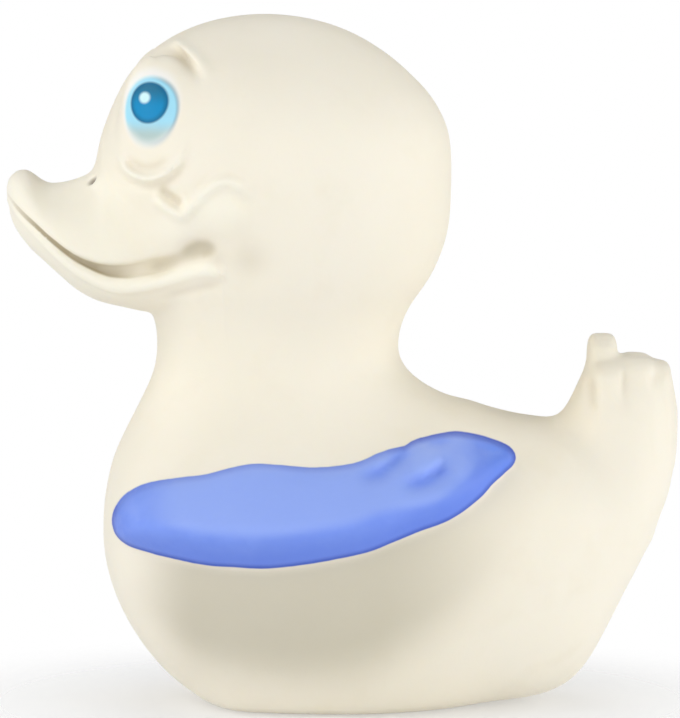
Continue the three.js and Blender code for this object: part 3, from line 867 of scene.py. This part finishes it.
b1 = N.bumpy(grain, 0.12, 0.0002)
b2 = N.bumpy(cloud, 0.12, 0.0006, b1)
b3 = N.bumpy(wing_mask, 0.5, 0.00012, b2)
b4 = N.bumpy(iris_mask, 0.5, 0.00006, b3)

bsdf = N.node("ShaderNodeBsdfPrincipled")
N.put(bsdf.inputs["Base Color"], colour)
N.put(bsdf.inputs["Roughness"], rough)
N.put(bsdf.inputs["Normal"], b4)
bsdf.inputs["Subsurface Weight"].default_value = 0.18
bsdf.inputs["Subsurface Radius"].default_value = (1.0, 0.82, 0.55)
bsdf.inputs["Subsurface Scale"].default_value = 0.0018
bsdf.inputs["Specular IOR Level"].default_value = 0.22
bsdf.inputs["IOR"].default_value = 1.5
out = N.node("ShaderNodeOutputMaterial")
N.t.links.new(bsdf.outputs[0], out.inputs[0])
me.materials.append(N.mat)

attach(duck, "root")
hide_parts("duck")

# ---- floor, light and camera --------------------------------------------------
fm = bpy.data.meshes.new("floor")
fm.from_pydata([(-9, -9, 0), (9, -9, 0), (9, 9, 0), (-9, 9, 0)], [], [(0, 1, 2, 3)])
floor = bpy.data.objects.new("floor", fm)
bpy.context.scene.collection.objects.link(floor)
FN = Net("floor_white")
fb = FN.node("ShaderNodeBsdfPrincipled")
fb.inputs["Base Color"].default_value = (0.9, 0.9, 0.895, 1)
fb.inputs["Roughness"].default_value = 0.8
fb.inputs["Specular IOR Level"].default_value = 0.2
away = FN.node("ShaderNodeVectorMath", operation="LENGTH")
FN.put(away.inputs[0], FN.node("ShaderNodeTexCoord").outputs["Object"])
fade = FN.node("ShaderNodeMixShader")
FN.put(fade.inputs[0], FN.step(away.outputs["Value"], 0.015, 0.075, 0.3, 1.0))
FN.put(fade.inputs[1], fb.outputs[0])
FN.put(fade.inputs[2], FN.node("ShaderNodeBsdfTransparent").outputs[0])
fo = FN.node("ShaderNodeOutputMaterial")
FN.t.links.new(fade.outputs[0], fo.inputs[0])
fm.materials.append(FN.mat)

FILL, FILL_LOW = 0.14, 0.76
scene = bpy.context.scene
world = bpy.data.worlds.new("studio")
scene.world = world
world.use_nodes = True
wt = world.node_tree
wt.nodes.clear()
# white behind the duck; as light it is a pale table below and a dim room above
path = wt.nodes.new("ShaderNodeLightPath")
coord = wt.nodes.new("ShaderNodeTexCoord")
split = wt.nodes.new("ShaderNodeSeparateXYZ")
wt.links.new(coord.outputs["Generated"], split.inputs[0])
fill = wt.nodes.new("ShaderNodeMapRange")
fill.interpolation_type = "SMOOTHSTEP"
wt.links.new(split.outputs["Z"], fill.inputs["Value"])
fill.inputs["From Min"].default_value = -0.12
fill.inputs["From Max"].default_value = 0.12
fill.inputs["To Min"].default_value = FILL_LOW
fill.inputs["To Max"].default_value = FILL
level = wt.nodes.new("ShaderNodeMapRange")
wt.links.new(path.outputs["Is Camera Ray"], level.inputs["Value"])
wt.links.new(fill.outputs[0], level.inputs["To Min"])
level.inputs["To Max"].default_value = 1.0
glow = wt.nodes.new("ShaderNodeBackground")
glow.inputs["Color"].default_value = (1, 1, 1, 1)
wt.links.new(level.outputs[0], glow.inputs["Strength"])
wo = wt.nodes.new("ShaderNodeOutputWorld")
wt.links.new(glow.outputs[0], wo.inputs[0])


def softbox(name, az, el, watts, away=1.0, aim=(0, 0, 0.05)):
    a, e = math.radians(az), math.radians(el)
    where = Vector(aim) + away * Vector((math.cos(e) * math.cos(a), math.cos(e) * math.sin(a), math.sin(e)))
    l = bpy.data.lights.new(name, "AREA")
    l.shape = "RECTANGLE"
    l.size = l.size_y = 0.55 * away
    l.energy = watts * away * away
    o = bpy.data.objects.new(name, l)
    o.location = where
    o.rotation_euler = (Vector(aim) - where).to_track_quat("-Z", "Y").to_euler()
    scene.collection.objects.link(o)


softbox("back_box", 180, 50, 1.9)
softbox("front_low", 0, 10, 2.1, 1.4)
softbox("front_high", 0, 60, 1.0)
softbox("left_low", -60, 10, 2.0)
softbox("left_high", -60, 40, 2.2)
softbox("right_low", 60, 10, 2.05)
softbox("right_side", 85, 8, 2.2)
softbox("right_rear", 115, 25, 1.6)
softbox("left_rear", -115, 25, 1.8)

cam = bpy.data.cameras.new("camera")
camera = bpy.data.objects.new("camera", cam)
scene.collection.objects.link(camera)
aim = Vector((0.0, (YMID + SHIFT_Y) / 1000.0, ZMID / 1000.0))
view = Vector((CE, 0.0, SE))
camera.location = aim + view * (DIST / 1000.0)
camera.rotation_euler = (-view).to_track_quat("-Z", "Y").to_euler()
cam.sensor_fit = "VERTICAL"
cam.sensor_height = 36.0
cam.sensor_width = 36.0
cam.lens = 36.0 * DIST / (718.0 * K)
cam.clip_start = 0.01
scene.camera = camera
scene.view_settings.view_transform = "Standard"
scene.view_settings.look = "None"
